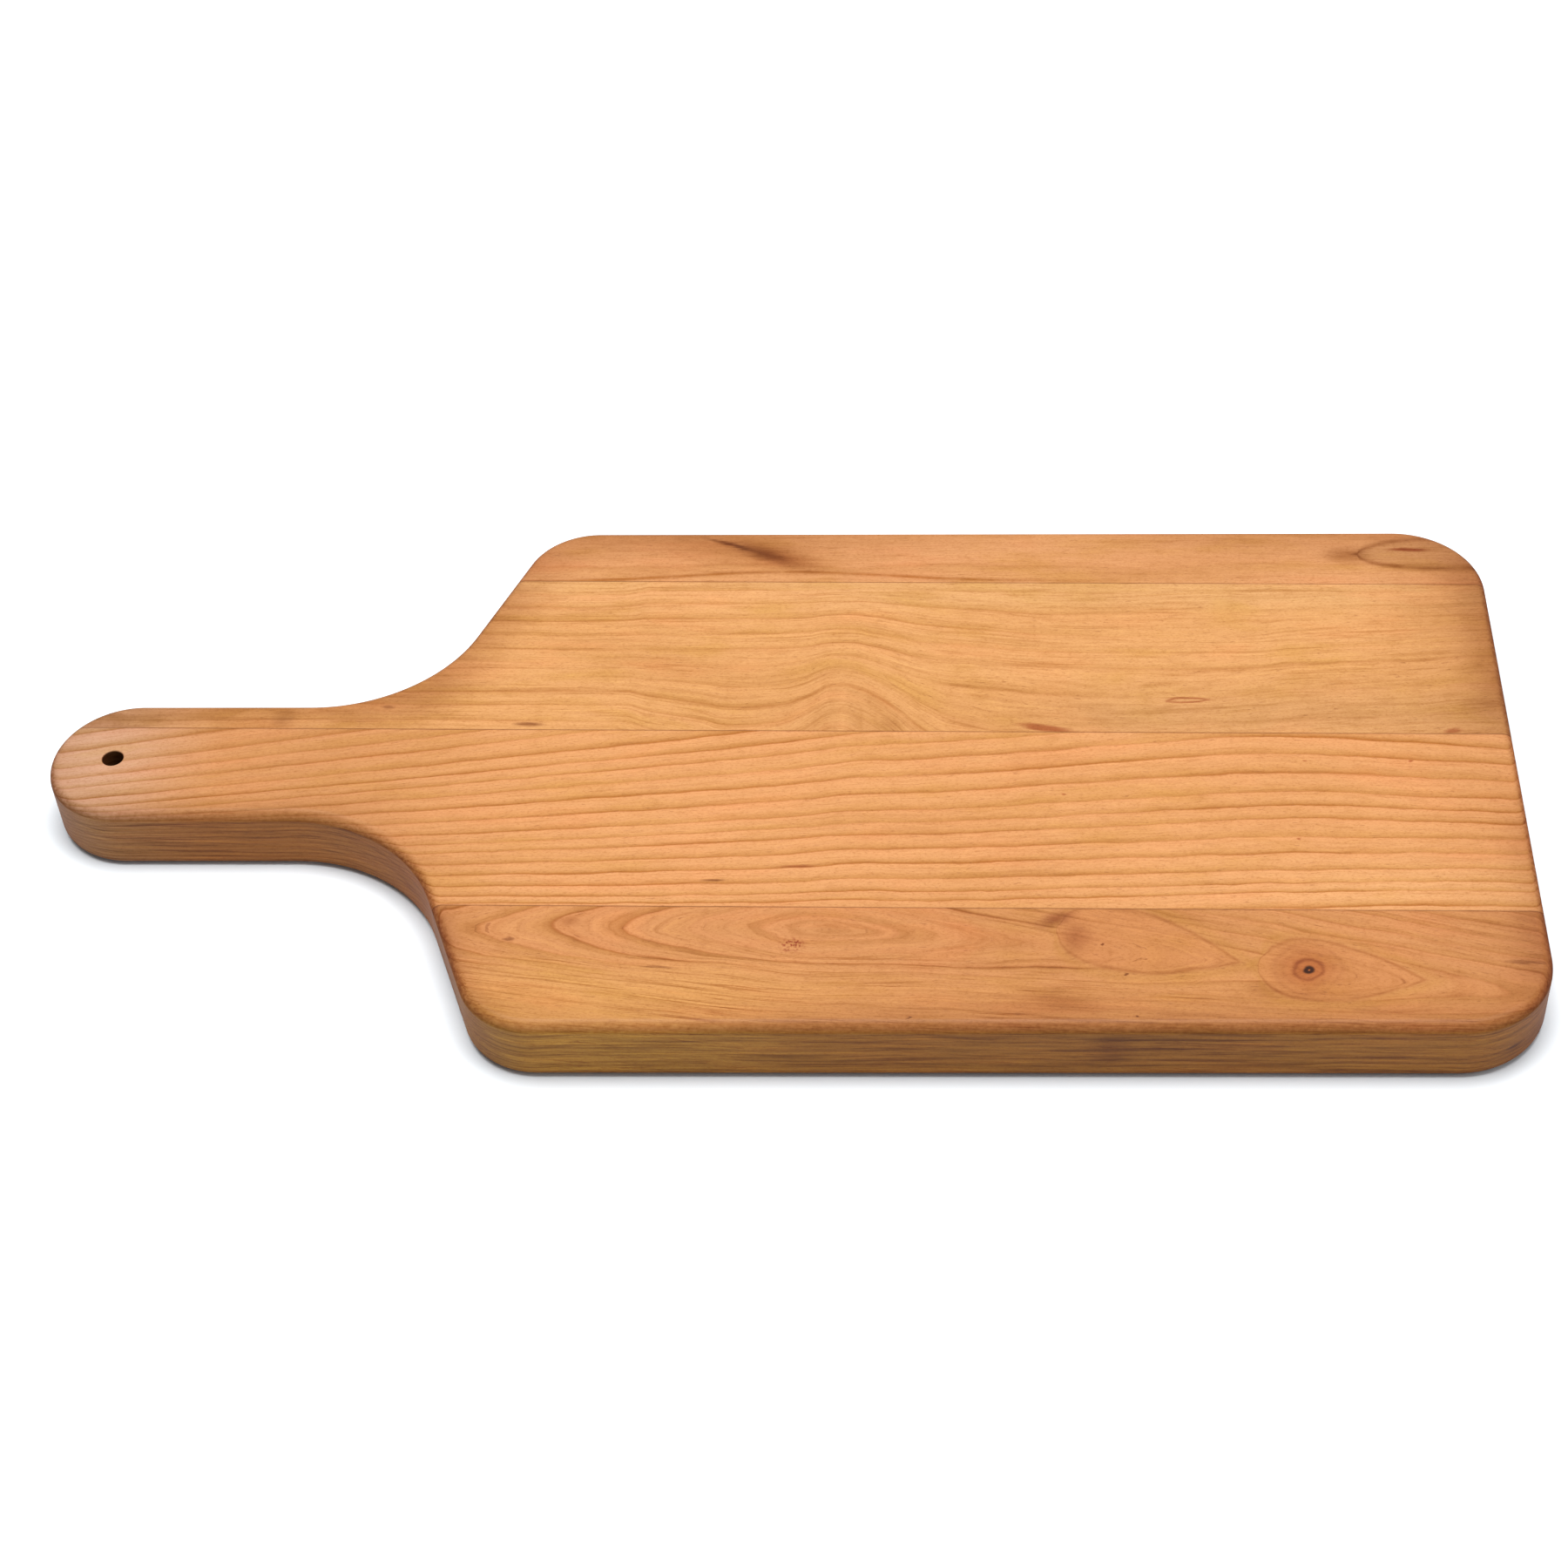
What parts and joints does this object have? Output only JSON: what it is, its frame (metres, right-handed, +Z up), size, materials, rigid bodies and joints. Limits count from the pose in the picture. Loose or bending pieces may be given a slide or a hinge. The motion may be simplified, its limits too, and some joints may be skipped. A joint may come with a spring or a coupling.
{
  "type": "cutting board",
  "caption": "Paddle-shaped wooden cutting board: edge-glued cherry staves, rounded shoulders running into a round-ended handle with a small hanging hole, all edges eased.",
  "frame": {"origin": "middle of the underside, centred on the board's overall length and width", "axes": "+X along the board's length towards the broad end, so the handle points to -X; +Y across its width; +Z up through its thickness"},
  "size_m": [0.45, 0.216, 0.0222],
  "materials": {
    "cherry_back": "oiled satin",
    "cherry_upper": "oiled satin",
    "cherry_middle": "oiled satin",
    "cherry_front": "oiled satin",
    "dried_glue": "dried wood glue, flush"
  },
  "bodies": {
    "root": {"stave_back": "cherry_back", "stave_upper": "cherry_upper", "stave_middle": "cherry_middle", "stave_front": "cherry_front", "glue_line_back": "dried_glue", "glue_line_middle": "dried_glue", "glue_line_front": "dried_glue"}
  },
  "joints": []
}
